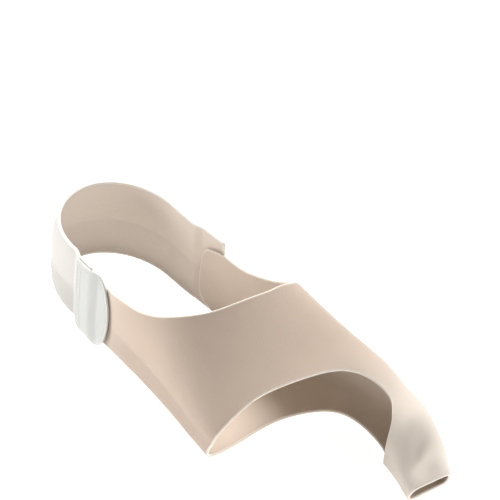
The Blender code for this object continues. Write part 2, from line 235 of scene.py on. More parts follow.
# Knit: slant of a loop's legs, share of its height that falls between rows, noise scales
LEG_SLANT, ROW_RELIEF = 1.3, 0.45
PATCHES_PER_METRE, FUZZ_PER_METRE = 38.0, 2600.0
FUZZ_DEPTH = 0.00006
# Painted shade: the knit's colour falls to this share in the valleys between its loops
VALLEY_SHADE = 0.88
SHEEN_ROUGHNESS, SHEEN_TINT = 0.35, (1.0, 0.97, 0.94, 1.0)
FABRIC_SPECULAR = 0.25
FULL = 1.0

# Cut edges and sewing thread: fine strands in two shades of a colour
StrandRow = namedtuple("StrandRow", "roughness sheen per_metre detail depth")
THREAD_ENDS = StrandRow(0.9, 0.3, 1500.0, 2, 0.0001)
SEWING_THREAD = StrandRow(0.55, 0.2, 4000.0, 1, 0.00005)
STRAND_SHADE = 0.82

# Stitch lines: points of a straight line and of the border's long sides, how far the thread
# stands off, and the distances between the rows
LINE_POINTS, SIDE_POINTS = 40, 30
THREAD_LIFT, SEAM_ROW_GAP, LAP_ROW_GAP = 0.00005, 0.0025, 0.0050
HEEL_STEP = 0.0005
STITCH_SEGMENTS, STITCH_RINGS = 8, 6
STITCH_ROW = "Stitch row"

# The camera: angles in degrees, lens and distance as the photograph's framing asks
CAMERA_AZIMUTH, CAMERA_ELEVATION, CAMERA_ROLL = -44.138, 37.494, 4.152
CAMERA_DISTANCE, CAMERA_LENS, CAMERA_SENSOR = 1.2874, 178.37, 36.0
CAMERA_TARGET = (0.0620, 0.0680, 0.0200)
FLOOR_DROP, FLOOR_HALF = 0.0006, 4.0
FLOOR_GRAIN, FLOOR_SHADE = 40.0, 0.985
FLOOR_ROUGHNESS, FLOOR_SPECULAR = 0.9, 0.1

# Lights: where each stands round a centre, how far off, and its size
LIGHT_CENTRE = (0.0, 0.01, 0.03)
LightRow = namedtuple("LightRow", "name azimuth elevation distance size")
LIGHTS = (
    LightRow("outer", -138, 12, 0.9, 0.40),
    LightRow("inner", 126, 45, 0.9, 0.40),
    LightRow("front", 8, 12, 0.9, 0.40),
)


def column(table, name):
    return np.array([getattr(row, name) for row in table], float)


def smooth_step(value):
    share = np.clip(value, 0.0, 1.0)
    return share * share * (3 - 2 * share)


def hermite(share, first, last, first_slope, last_slope):
    """Cubic between two values with given slopes per unit of share."""
    square, cube = share**2, share**3
    return (
        (2 * cube - 3 * square + 1) * first
        + (cube - 2 * square + share) * first_slope
        + (3 * square - 2 * cube) * last
        + (cube - square) * last_slope
    )


def through(table, name, shares):
    """A table's column as a smooth curve over its stations."""
    stations, values = column(table, "station"), column(table, name)
    slopes = np.gradient(values, stations)
    low = np.clip(np.searchsorted(stations, shares) - 1, 0, len(stations) - 2)
    span = stations[low + 1] - stations[low]
    share = np.clip((shares - stations[low]) / span, 0, 1)
    return hermite(share, values[low], values[low + 1], slopes[low] * span, slopes[low + 1] * span)


def round_ring(table, name, places, turn=0.0):
    """A table's column as a smooth closed curve over its rows, gaining turn each time round."""
    values = column(table, name)
    count = len(values)
    low = np.floor(places).astype(int)

    def row(index):
        return values[index % count] + turn * (index // count)

    ahead, behind = row(low + 1), row(low - 1)
    here, beyond = row(low), row(low + 2)
    return hermite(places - low, here, ahead, (ahead - behind) / 2, (beyond - here) / 2)


def along_rows(table, name, places):
    """A table's column as a smooth open curve over its rows."""
    values = column(table, name)
    slopes = np.gradient(values)
    low = np.clip(np.floor(places).astype(int), 0, len(values) - 2)
    return hermite(places - low, values[low], values[low + 1], slopes[low], slopes[low + 1])


def squared_ellipse(angle, square_below, square_above):
    """(sideways, down) shares of a rounded section, -1 to 1, squarer than an ellipse."""
    turned = np.radians(angle)
    side, down = np.sin(turned), np.cos(turned)
    square = np.where(down > 0, square_below, square_above)
    return side * (1 + square * down**2), down * (1 + square * side**2)


def last_section(station, angle):
    """x and z of the last at a station and section angle."""
    share = station / LAST_LENGTH
    crest = through(LAST_SECTIONS, "crest", share) * INSTEP_HEIGHT
    waist = through(LAST_SECTIONS, "waist", share) * INSTEP_HEIGHT
    side, down = squared_ellipse(angle, SOLE_SQUARE, INSTEP_SQUARE)
    outer, inner = through(LAST_SECTIONS, "outer", share), through(LAST_SECTIONS, "inner", share)
    x = -side * np.where(side > 0, outer, inner) * BALL_WIDTH
    z = waist - down * np.where(down > 0, waist, crest - waist)
    rise = np.clip((z - waist) / (crest - waist), 0, None)
    return x + through(LAST_SECTIONS, "crest_shift", share) * BALL_WIDTH * rise**2, z


def toe_section(station, angle):
    """x and z of the toe tube's inner face."""
    share = station / LAST_LENGTH
    top = through(TOE_SECTIONS, "top", share) * INSTEP_HEIGHT
    foot = through(TOE_SECTIONS, "foot", share) * INSTEP_HEIGHT
    waist = foot + TOE_WAIST * (top - foot)
    side, down = squared_ellipse(angle, TOE_SOLE_SQUARE, TOE_TOP_SQUARE)
    x = through(TOE_SECTIONS, "centre", share) - side * through(TOE_SECTIONS, "half", share)
    return x * BALL_WIDTH, waist - down * np.where(down > 0, waist - foot, top - waist)


def on_last(station, angle, toe_angle, pull):
    """Points on the last, passing from the band's form to the toe tube's."""
    share = (station / LAST_LENGTH - TOE_BLEND_START) / (TOE_BLEND_END - TOE_BLEND_START)
    toe = smooth_step(share) * pull
    band_x, band_z = last_section(station, angle)
    toe_x, toe_z = toe_section(station, toe_angle)
    x, z = band_x + toe * (toe_x - band_x), band_z + toe * (toe_z - band_z)
    return np.stack([x, SEAT_STATION - station, z], axis=-1)


def heel_quarter():
    """Length of the path from the back of the heel to its widest station."""
    x, _ = last_section(np.array(HEEL_CENTRE), np.array(90.0))
    return np.pi / 4 * (HEEL_DEPTH - x)


def path_at(station):
    """Distance along the strap's path from the back of the heel to a station on a side."""
    return heel_quarter() + station - HEEL_CENTRE


def round_heel(path, angle):
    """Points on the last round the heel: path is below 0 on the outer side, above 0 inside."""
    quarter = heel_quarter()
    station = HEEL_CENTRE + np.clip(np.abs(path) - quarter, 0, None)
    round_angle = np.where(path < 0, angle, 2 * HALF_TURN - angle)
    x, z = last_section(station, round_angle)
    turn = np.clip(path / quarter, -1, 1) * np.pi / 2
    side, _ = squared_ellipse(angle, SOLE_SQUARE, INSTEP_SQUARE)
    crest = LAST_SECTIONS[0].crest * INSTEP_HEIGHT
    waist = LAST_SECTIONS[0].waist * INSTEP_HEIGHT
    rise = np.clip((z - waist) / (crest - waist), 0, None)
    depth = HEEL_DEPTH * side - HEEL_SETBACK * rise**2
    y = SEAT_STATION - station + depth * np.cos(turn)
    return np.stack([x * np.abs(np.sin(turn)), y, z], axis=-1)


def angle_at_height(path, height):
    """Section angle at which the last on the strap's path has a height."""
    angles = np.linspace(0, HALF_TURN, 181)
    heights = round_heel(np.full_like(angles, path), angles)[:, 2]
    return np.interp(height, heights, angles)


def lifted(points, lift):
    """A grid of points moved out along its normals by a lift of its own at each point."""
    across, along = np.gradient(points, axis=1), np.gradient(points, axis=0)
    normal = np.cross(along, across)
    normal /= np.linalg.norm(normal, axis=-1, keepdims=True)
    return points + normal * lift[..., None]


def strap_lift(path):
    """How far the strap stands off the last: over each wing of the sleeve by its wall."""
    over = SLEEVE_WALL + LAYER_GAP
    lift = np.zeros_like(path)
    for side, wing_end in ((-1, WING_END), (1, INNER_WING_END)):
        full = path_at(wing_end) - RAMP_CLEARANCE
        lift += over * smooth_step((side * path - full + LAYER_RAMP) / LAYER_RAMP)
    return lift


def strap_top(path):
    """Height of the strap's upper edge: highest behind the heel."""
    forward = smooth_step(np.abs(path) / path_at(TAB_REAR + TAB_LAP))
    return STRAP_TOP_BACK + (STRAP_TOP_FRONT - STRAP_TOP_BACK) * forward


def quad_rows(first_index, rows, columns, closed=False):
    """Faces of a grid of vertices stored row by row."""
    faces = []
    for row in range(rows - 1):
        for left in range(columns if closed else columns - 1):
            right = (left + 1) % columns
            here, there = first_index + row * columns, first_index + (row + 1) * columns
            faces.append((here + left, there + left, there + right, here + right))
    return faces


def toe_angle_of(front_angle):
    """Angle on the toe tube that a column of the band's ring runs to."""
    top = SLEEVE_EDGES[FORK_TOP_ROW].front_angle
    sole = SLEEVE_EDGES[FORK_SOLE_ROW].front_angle
    return HALF_TURN * (1 + (front_angle - top) / (sole - top))


def vertex_normals(points, quads):
    corners = points[quads]
    facing = np.cross(corners[:, 2] - corners[:, 0], corners[:, 3] - corners[:, 1])
    total = np.zeros_like(points)
    for corner in range(4):
        np.add.at(total, quads[:, corner], facing)
    return total / np.linalg.norm(total, axis=1, keepdims=True)


def cut_edges(quads):
    """Edges that only one face has, in that face's order."""
    ahead = np.roll(quads, -1, axis=1)
    found = set(zip(quads.ravel().tolist(), ahead.ravel().tolist()))
    return np.array(sorted(edge for edge in found if edge[::-1] not in found))


def distance_to(points, targets):
    nearest = np.empty(len(points))
    for start in range(0, len(points), CHUNK):
        gap = points[start:start + CHUNK, None] - targets[None]
        nearest[start:start + CHUNK] = np.sqrt((gap**2).sum(-1).min(1))
    return nearest


def relaxed(points, faces, centres):
    """Points eased towards the middle of their neighbours near the ends of the toe fork, where an
    edge point only follows the edge."""
    ahead = np.roll(faces, -1, axis=1)
    ends = np.sort(np.stack([faces.ravel(), ahead.ravel()], axis=1), axis=1)
    edges, uses = np.unique(ends, axis=0, return_counts=True)
    on_edge = np.zeros(len(points), bool)
    on_edge[edges[uses == 1]] = True
    pairs = np.concatenate([edges, edges[:, ::-1]])
    kept = ~on_edge[pairs[:, 0]] | np.tile(uses == 1, 2)
    here, there = pairs[kept].T
    gap = np.linalg.norm(points[:, None] - centres, axis=2).min(axis=1)
    weight = np.exp(-((gap / FORK_EASE) ** 2))[:, None]
    count = np.bincount(here, minlength=len(points))[:, None]
    for _ in range(FORK_EASE_PASSES):
        total = np.zeros_like(points)
        np.add.at(total, here, points[there])
        points = points + weight * (total / count - points) / 2
    return points


def over_the_toe(points):
    """Points of the tube's upper side, raised or sunk by the relief."""
    share = (SEAT_STATION - points[:, 1]) / LAST_LENGTH
    top = through(TOE_SECTIONS, "top", share) * INSTEP_HEIGHT
    rise = np.zeros(len(points))
    for row in TOE_RELIEF:
        turn = np.radians(row.turn)
        x = points[:, 0] - row.place * BALL_WIDTH
        y = (row.station - share) * LAST_LENGTH
        across = (x * np.cos(turn) + y * np.sin(turn)) / (row.across * BALL_WIDTH)
        along = (y * np.cos(turn) - x * np.sin(turn)) / (row.along * LAST_LENGTH)
        rise += row.height * INSTEP_HEIGHT * np.exp(-(across**2 + along**2) / 2)
    upper = smooth_step(UPPER_SHARE * points[:, 2] / top + 1 - UPPER_SHARE)
    return points + np.stack([0 * rise, 0 * rise, rise * upper], axis=1)


def wrapped(values, quads, period):
    """A value at each face's corners, carried on past the seam where it starts again."""
    corners = values[quads]
    return corners + period * (corners < corners.max(axis=1, keepdims=True) - period / 2)


def added(name, data):
    """A new object in the scene."""
    piece = bpy.data.objects.new(name, data)
    bpy.context.scene.collection.objects.link(piece)
    return piece


def shell(name, points, quads, corner_u, corner_v, stretch, wall, materials):
    """A wall of fabric on its inner face: outer face, lining and rounded cut edge."""
    normals = vertex_normals(points, quads)
    edges = cut_edges(quads)
    tangent = np.zeros_like(points)
    for end in (0, 1):
        np.add.at(tangent, edges[:, end], points[edges[:, 1]] - points[edges[:, 0]])
    rim = np.unique(edges)
    outward = np.cross(tangent[rim], normals[rim])
    outward /= np.linalg.norm(outward, axis=1, keepdims=True)
    gap = distance_to(points, points[rim])
    thick = wall * (1 + EDGE_SWELL * np.exp(-((gap / EDGE_WIDTH) ** 2)))
    rings = []
    for turn in np.pi * np.arange(1, EDGE_STEPS) / EDGE_STEPS:
        height = thick[rim] / 2 * (1 + np.cos(turn))
        reach = EDGE_BULGE * wall * np.sin(turn)
        rings.append(points[rim] + normals[rim] * height[:, None] + outward * reach)
    vertices = np.concatenate([points + normals * thick[:, None], points, *rings])

    count = len(points)
    place = np.searchsorted(rim, edges)
    steps = [edges]
    steps += [2 * count + ring * len(rim) + place for ring in range(EDGE_STEPS - 1)]
    steps.append(count + edges)
    faces = [quads, count + quads[:, ::-1]]
    for here, there in zip(steps, steps[1:]):
        faces.append(np.stack([here[:, 1], here[:, 0], there[:, 0], there[:, 1]], axis=1))
    slots = np.repeat([0, 1, 2], [len(quads), len(quads), len(edges) * EDGE_STEPS])
    faces = np.concatenate(faces)

    mesh = bpy.data.meshes.new(name)
    mesh.from_pydata(vertices.tolist(), [], faces.tolist())
    mesh.shade_smooth()
    mesh.polygons.foreach_set("material_index", slots.astype(np.int32))
    for material in materials:
        mesh.materials.append(material)
    knit = np.zeros((len(faces), 4, 2))
    knit[:len(quads), :, 0], knit[:len(quads), :, 1] = corner_u, corner_v
    knit[len(quads):2 * len(quads)] = knit[:len(quads), ::-1]
    layer = mesh.uv_layers.new(name="knit")
    layer.data.foreach_set("uv", knit.ravel().astype(np.float32))
    edge = np.concatenate([gap, gap, np.zeros(len(vertices) - 2 * count)])
    # Stretch: how much paler the knit is, partly where it is drawn out, partly painted light
    lit_stretch = np.concatenate([stretch, stretch, np.tile(stretch[rim], EDGE_STEPS - 1)])
    for label, values in (("edge_distance", edge), ("stretch", lit_stretch)):
        stored = mesh.attributes.new(label, "FLOAT", "POINT")
        stored.data.foreach_set("value", values.astype(np.float32))
    return added(name, mesh)


def link(tree, value, socket):
    """Joins an output to a socket, or sets the socket's value."""
    if isinstance(value, bpy.types.NodeSocket):
        tree.links.new(value, socket)
    else:
        socket.default_value = value


def maths(tree, operation, *values):
    """A Math node's output."""
    node = tree.nodes.new("ShaderNodeMath")
    node.operation = operation
    for socket, value in zip(node.inputs, values):
        link(tree, value, socket)
    return node.outputs[0]


def mixed(tree, factor, first, second, kind="MIX"):
    """A colour between two others."""
    node = tree.nodes.new("ShaderNodeMix")
    node.data_type, node.blend_type = "RGBA", kind
    for place, value in ((0, factor), (6, first), (7, second)):
        link(tree, value, node.inputs[place])
    return node.outputs[2]


def shaded(tree, factor, colour, share):
    """A colour that a factor takes from its darker shade to itself."""
    shade = tuple(share * channel for channel in colour)
    return mixed(tree, factor, (*shade, FULL), (*colour, FULL))


def noise(tree, vector, scale, detail):
    node = tree.nodes.new("ShaderNodeTexNoise")
    for label, value in (("Vector", vector), ("Scale", scale), ("Detail", detail)):
        link(tree, value, node.inputs[label])
    return node.outputs["Fac"]


def object_place(tree):
    return tree.nodes.new("ShaderNodeTexCoord").outputs["Object"]


def bumped(tree, height, depth, normal=None):
    """A normal that follows a height, on top of another normal."""
    node = tree.nodes.new("ShaderNodeBump")
    link(tree, depth, node.inputs["Distance"])
    link(tree, height, node.inputs["Height"])
    if normal:
        link(tree, normal, node.inputs["Normal"])
    return node.outputs["Normal"]


def shader_group(name, inputs, outputs):
    """An empty shader node group with its input and output nodes."""
    tree = bpy.data.node_groups.new(name, "ShaderNodeTree")
    for way, sockets in (("INPUT", inputs), ("OUTPUT", outputs)):
        for label, kind in sockets.items():
            tree.interface.new_socket(label, in_out=way, socket_type="NodeSocket" + kind)
    return tree, tree.nodes.new("NodeGroupInput").outputs, tree.nodes.new("NodeGroupOutput").inputs


def knit_group(name):
    """Loops of a plain knit: V-shaped legs in columns, in metres along the fabric."""
    tree, given, out = shader_group(
        name, {"Fabric": "Vector", "Wale": "Float", "Course": "Float"}, {"Height": "Float"}
    )
    split = tree.nodes.new("ShaderNodeSeparateXYZ")
    link(tree, given["Fabric"], split.inputs[0])
    wale = maths(tree, "DIVIDE", split.outputs[0], given["Wale"])
    course = maths(tree, "DIVIDE", split.outputs[1], given["Course"])
    side = maths(tree, "ABSOLUTE", maths(tree, "SUBTRACT", maths(tree, "FRACT", wale), 0.5))
    leg = maths(tree, "COSINE", maths(tree, "MULTIPLY", side, 4 * np.pi))
    leg = maths(tree, "MULTIPLY_ADD", leg, -0.5, 0.5)
    row = maths(tree, "MULTIPLY_ADD", side, LEG_SLANT, course)
    row = maths(tree, "COSINE", maths(tree, "MULTIPLY", row, 2 * np.pi))
    row = maths(tree, "MULTIPLY_ADD", row, ROW_RELIEF / 2, 1 - ROW_RELIEF / 2)
    link(tree, maths(tree, "MULTIPLY", leg, row), out["Height"])
    return tree


def tone_group(name):
    """Slow unevenness of the dye and fine fuzz."""
    tree, given, out = shader_group(
        name, {"Place": "Vector", "Patch": "Float"}, {"Tone": "Float", "Fuzz": "Float"}
    )
    slow = noise(tree, given["Place"], PATCHES_PER_METRE, 3)
    fine = noise(tree, given["Place"], FUZZ_PER_METRE, 2)
    slow = maths(tree, "MULTIPLY", maths(tree, "SUBTRACT", slow, 0.5), given["Patch"])
    link(tree, maths(tree, "ADD", slow, 1.0), out["Tone"])
    link(tree, fine, out["Fuzz"])
    return tree


def edge_group(name):
    """How near the fabric is to its cut edge, 0 to 1: where the painted highlight along the edge
    falls.
    """
    tree, given, out = shader_group(name, {"Width": "Float"}, {"Near": "Float"})
    stored = tree.nodes.new("ShaderNodeAttribute")
    stored.attribute_name = "edge_distance"
    share = maths(tree, "DIVIDE", stored.outputs["Fac"], given["Width"])
    near = maths(tree, "SUBTRACT", 1.0, share)
    near.node.use_clamp = True
    link(tree, maths(tree, "POWER", near, 1.5), out["Near"])
    return tree


def placed(tree, name, build, **inputs):
    """The outputs of a node group, which is built when it is first asked for."""
    node = tree.nodes.new("ShaderNodeGroup")
    node.node_tree = bpy.data.node_groups.get(name) or build(name)
    for label, value in inputs.items():
        link(tree, value, node.inputs[label])
    return node.outputs


def plain_material(name, roughness, sheen):
    """A material, its node tree and the inputs of its surface."""
    material = bpy.data.materials.new(name)
    material.use_nodes = True
    surface = material.node_tree.nodes["Principled BSDF"].inputs
    surface["Roughness"].default_value = roughness
    surface["Sheen Weight"].default_value = sheen
    return material, material.node_tree, surface


def fabric_material(name, look, colour, drawn_and_lit_colour, sheen):
    """A knit in its own colour, paler where it is drawn out and at its cut edge, both partly
    painted light, with painted shade between its loops.
    """
    material, tree, surface = plain_material(name, look.roughness, sheen)
    surface["Sheen Roughness"].default_value = SHEEN_ROUGHNESS
    surface["Sheen Tint"].default_value = SHEEN_TINT
    surface["Specular IOR Level"].default_value = FABRIC_SPECULAR
    fabric = tree.nodes.new("ShaderNodeUVMap")
    fabric.uv_map = "knit"
    loops = placed(tree, "Knit loops", knit_group,
                   Fabric=fabric.outputs[0], Wale=look.wale, Course=look.course)
    tone = placed(tree, "Cloth tone", tone_group, Place=object_place(tree), Patch=look.unevenness)
    near = placed(tree, "Cut edge", edge_group, Width=look.edge_highlight_reach)
    # The stretch attribute takes the yarn to its paler colour: partly drawn-out knit, partly
    # painted light
    drawn = tree.nodes.new("ShaderNodeAttribute")
    drawn.attribute_name = "stretch"
    yarn = mixed(tree, drawn.outputs["Fac"], (*colour, FULL), (*drawn_and_lit_colour, FULL))
    # Painted shade: the yarn is darkened in the valleys between the loops
    shade = shaded(tree, loops["Height"], (FULL,) * 3, VALLEY_SHADE)
    toned_yarn_with_painted_light = mixed(tree, FULL, yarn, shade, "MULTIPLY")
    toned_yarn_with_painted_light = mixed(tree, FULL, toned_yarn_with_painted_light, tone["Tone"], "MULTIPLY")
    # Paler cut edge: partly its own thread ends, partly a painted highlight along it
    toned_yarn_with_painted_light = mixed(tree, near["Near"], toned_yarn_with_painted_light, (*look.edge_and_highlight_colour, FULL))
    link(tree, toned_yarn_with_painted_light, surface["Base Color"])
    fuzz = bumped(tree, tone["Fuzz"], FUZZ_DEPTH)
    link(tree, bumped(tree, loops["Height"], look.relief, fuzz), surface["Normal"])
    return material


def strand_material(name, colour, strands):
    """Thread, or the slightly furry line of thread ends along a cut edge, whose paler colour is
    partly a painted highlight.
    """
    material, tree, surface = plain_material(name, strands.roughness, strands.sheen)
    strand = noise(tree, object_place(tree), strands.per_metre, strands.detail)
    link(tree, shaded(tree, strand, colour, STRAND_SHADE), surface["Base Color"])
    link(tree, bumped(tree, strand, strands.depth), surface["Normal"])
    return material


def fabric_set(name, look):
    """Outer face, lining and cut edge of one piece."""
    lining = look.lining_colour
    return (
        fabric_material(name, look, look.colour, look.drawn_and_lit_colour, look.sheen),
        fabric_material(name + "_lining", look, lining, lining, look.sheen / 2),
        # The rim's paler colour is partly a painted highlight
        strand_material(name + "_cut_edge", look.edge_and_highlight_colour, THREAD_ENDS),
    )


def sleeve_surface():
    """The sleeve's inner face: points, quads, and the fabric's place at each face's corners."""
    places = np.arange(len(SLEEVE_EDGES) * COLUMNS_PER_ROW) / COLUMNS_PER_ROW
    rear_angle = round_ring(SLEEVE_EDGES, "rear_angle", places, 2 * HALF_TURN)
    front_angle = round_ring(SLEEVE_EDGES, "front_angle", places, 2 * HALF_TURN)
    pull = np.clip(round_ring(SLEEVE_EDGES, "pull", places), 0, 1)
    inner_share = smooth_step(0.5 - WING_SPREAD * np.sin(np.radians(rear_angle)))
    wing_end = WING_END + inner_share * (INNER_WING_END - WING_END)
    rear = wing_end + round_ring(SLEEVE_EDGES, "reach", places) * (INSTEP_EDGE - wing_end)
    front = BALL_EDGE + round_ring(SLEEVE_EDGES, "advance", places) * (TOE_FORK - BALL_EDGE)
    share = np.linspace(0, 1, BAND_ROWS + 1)[:, None]
    station = rear + share * (front - rear)
    angle = rear_angle + share * (front_angle - rear_angle)
    toe_angle = toe_angle_of(front_angle)
    band = on_last(station, angle, toe_angle, pull)
    blend_start = TOE_BLEND_START * LAST_LENGTH
    blend = smooth_step((station - blend_start) / (TOE_FORK - blend_start)) * pull
    toe_u = TOE_KNIT_START + (toe_angle / HALF_TURN - 1) * TOE_GIRTH / 2
    band_u = angle / HALF_TURN * SLEEVE_GIRTH / 2
    band_u = band_u + blend * (toe_u - band_u)
    ring = len(places)
    band_quads = np.array(quad_rows(0, BAND_ROWS + 1, ring, closed=True))

    top, sole = FORK_TOP_ROW * COLUMNS_PER_ROW, FORK_SOLE_ROW * COLUMNS_PER_ROW
    shared = np.arange(top, sole + 1)
    place = np.linspace(0, 1, FORK_COLUMNS + 2)[1:-1]
    rows_place = place * (len(FORK_EDGE) - 1)
    advance = along_rows(FORK_EDGE, "advance", rows_place)
    fork_station = TOE_FORK + advance * (TOE_TIP_EDGE - TOE_FORK)
    fork_angle = along_rows(FORK_EDGE, "toe_angle", rows_place)
    start_angle = np.concatenate([toe_angle[shared], fork_angle])
    middle = 1.5 * HALF_TURN
    shared_end = middle + (toe_angle[shared] - middle) * TOE_FAN
    fork_end = shared_end[-1] + place * (2 * HALF_TURN + shared_end[0] - shared_end[-1])
    end_angle = np.concatenate([shared_end, fork_end])
    start_station = np.concatenate([front[shared], fork_station])
    ring_angle = front_angle[sole] + place * (front_angle[top] - front_angle[sole])
    ring_angle = np.concatenate([front_angle[shared], ring_angle])
    side, down = squared_ellipse(end_angle, 0, 0)
    tip = TOE_TIP_EDGE - TOE_TIP_TURN * side - TOE_TIP_RAKE * (1 + down) / 2
    share = np.linspace(0, 1, TOE_ROWS + 1)[:, None]
    tube_station = start_station + share * (tip - start_station)
    tube_angle = start_angle + (1 - (1 - share) ** 3) * (end_angle - start_angle)
    tube = on_last(tube_station, ring_angle, tube_angle, 1.0)
    tube_u = TOE_KNIT_START + (tube_angle / HALF_TURN - 1) * TOE_GIRTH / 2

    first_fork = band.shape[0] * ring
    start_ring = np.concatenate([BAND_ROWS * ring + shared, first_fork + np.arange(FORK_COLUMNS)])
    first_row = first_fork + FORK_COLUMNS
    width = len(start_ring)
    left = np.arange(width)
    right = (left + 1) % width
    corners = (start_ring[left], first_row + left, first_row + right, start_ring[right])
    rest = np.array(quad_rows(first_row, TOE_ROWS, width, closed=True))
    tube_quads = np.concatenate([np.stack(corners, axis=1), rest])

    fork = slice(len(shared), None)
    points = np.concatenate([band.reshape(-1, 3), tube[0, fork], tube[1:].reshape(-1, 3)])
    u = np.concatenate([band_u.ravel(), tube_u[0, fork], tube_u[1:].ravel()])
    v = np.concatenate([station.ravel(), tube_station[0, fork], tube_station[1:].ravel()])
    corner_u = np.concatenate([
        wrapped(u, band_quads, SLEEVE_GIRTH),
        wrapped(u, tube_quads, TOE_GIRTH),
    ])
    quads = np.concatenate([band_quads, tube_quads])
    points = over_the_toe(relaxed(points, quads, band[-1, [top, sole]]))
    return points, quads, corner_u, v[quads], sleeve_stretch_and_light(v, points)


def sleeve_stretch_and_light(station, points):
    """How much paler the knit is, 0 to 1, over the toe tube and on the outer wing: partly where it
    is drawn out, partly painted light.
    """
    toe = smooth_step((station - TOE_LIT_STRETCH_START) / (TOE_LIT_STRETCH_END - TOE_LIT_STRETCH_START))
    wing = smooth_step((WING_LIT_STRETCH_END - station) / (WING_LIT_STRETCH_END - WING_END))
    return np.clip(toe + WING_LIT_STRETCH * wing * (points[:, 0] < 0), 0, 1)


def even_sheet(points, heights, paths):
    """A grid of points that isn't drawn out, with the fabric's place at its faces' corners."""
    rows, columns = points.shape[:2]
    quads = np.array(quad_rows(0, rows, columns))
    even = np.zeros(rows * columns)
    return points.reshape(-1, 3), quads, heights.ravel()[quads], paths.ravel()[quads], even


def strap_surface():
    """The strap's inner face round the heel."""
    paths = np.linspace(path_at(STRAP_SEAM), -path_at(TAB_REAR + TAB_LAP), STRAP_STEPS + 1)
    low = np.array([angle_at_height(path, STRAP_FOOT) for path in paths])
    high = np.array([angle_at_height(path, strap_top(path)) for path in paths])
    angles = np.linspace(low, high, STRAP_COLUMNS + 1, axis=1)
    paths = np.broadcast_to(paths[:, None], angles.shape)
    points = lifted(round_heel(paths, angles), strap_lift(paths))
    foot, top = np.zeros(len(low)), STRAP_TOP_BACK - STRAP_FOOT
    return even_sheet(points, np.linspace(foot, top, STRAP_COLUMNS + 1, axis=1), paths)


def tab_nose(reach):
    """The tab's rounded end: shares of its height, and how far it reaches at each."""
    rises = (1 - np.cos(np.linspace(0, np.pi, TAB_COLUMNS + 1))) / 2
    return rises, reach - TAB_NOSE * (1 - np.sqrt(1 - (2 * rises - 1) ** 2))


def tab_surface():
    """The tab's inner face, stepped down from the strap's end to the wing."""
    rises, ends = tab_nose(TAB_LENGTH)
    shares = np.linspace(0, 1, TAB_STEPS + 1)[:, None]
    paths = -path_at(TAB_REAR) - shares * ends
    heights = STRAP_FOOT + rises * (strap_top(paths) - STRAP_FOOT)
    angles = np.array([
        [angle_at_height(path, height) for path, height in zip(*row)]
        for row in zip(paths, heights)
    ])
    lift = tab_lift(paths, TAB_CURL * shares * (1 - rises) ** 2)
    return even_sheet(lifted(round_heel(paths, angles), lift), heights, paths)


def tab_lift(paths, curl):
    """How far the tab stands off the last: over the strap's end, then down on the wing."""
    step_start = path_at(TAB_REAR + TAB_LAP) + RAMP_CLEARANCE
    step_down = smooth_step((-paths - step_start) / LAYER_RAMP)
    return SLEEVE_WALL + LAYER_GAP + (STRAP_WALL + LAYER_GAP) * (1 - step_down) + curl


def on_heel(paths, heights, lift):
    """Points that stand off the last round the heel by a lift."""
    def at(path, height):
        angle = np.array([angle_at_height(*pair) for pair in zip(path, height)])
        return round_heel(path, angle)

    along = at(paths + HEEL_STEP, heights) - at(paths - HEEL_STEP, heights)
    upward = at(paths, heights + HEEL_STEP) - at(paths, heights - HEEL_STEP)
    out = np.cross(upward, along)
    out /= np.linalg.norm(out, axis=1, keepdims=True)
    return at(paths, heights) + out * lift[:, None]


def stitch_tree(name):
    """A row of thread stitches along a line of edges."""
    tree = bpy.data.node_groups.new(name, "GeometryNodeTree")
    tree.interface.new_socket("Line", in_out="INPUT", socket_type="NodeSocketGeometry")
    for label in ("Pitch", "Length", "Thickness"):
        tree.interface.new_socket(label, in_out="INPUT", socket_type="NodeSocketFloat")
    tree.interface.new_socket("Thread", in_out="INPUT", socket_type="NodeSocketMaterial")
    tree.interface.new_socket("Stitches", in_out="OUTPUT", socket_type="NodeSocketGeometry")
    new = tree.nodes.new
    given = new("NodeGroupInput").outputs
    curve = new("GeometryNodeMeshToCurve")
    link(tree, given["Line"], curve.inputs[0])
    points = new("GeometryNodeCurveToPoints")
    points.mode = "LENGTH"
    link(tree, curve.outputs[0], points.inputs["Curve"])
    link(tree, given["Pitch"], points.inputs["Length"])
    size = new("ShaderNodeCombineXYZ")
    for axis, label in enumerate(("Thickness", "Thickness", "Length")):
        link(tree, maths(tree, "MULTIPLY", given[label], 0.5), size.inputs[axis])
    bead = new("GeometryNodeMeshUVSphere")
    bead.inputs["Segments"].default_value = STITCH_SEGMENTS
    bead.inputs["Rings"].default_value = STITCH_RINGS
    bead.inputs["Radius"].default_value = 1.0
    stitch = new("GeometryNodeTransform")
    link(tree, bead.outputs["Mesh"], stitch.inputs["Geometry"])
    link(tree, size.outputs[0], stitch.inputs["Scale"])
    copies = new("GeometryNodeInstanceOnPoints")
    link(tree, points.outputs["Points"], copies.inputs["Points"])
    link(tree, points.outputs["Rotation"], copies.inputs["Rotation"])
    link(tree, stitch.outputs[0], copies.inputs["Instance"])
    smooth = new("GeometryNodeSetShadeSmooth")
    link(tree, copies.outputs[0], smooth.inputs[0])
    real = new("GeometryNodeRealizeInstances")
    link(tree, smooth.outputs[0], real.inputs[0])
    finish = new("GeometryNodeSetMaterial")
    link(tree, real.outputs[0], finish.inputs["Geometry"])
    link(tree, given["Thread"], finish.inputs["Material"])
    link(tree, finish.outputs[0], new("NodeGroupOutput").inputs[0])
    return tree


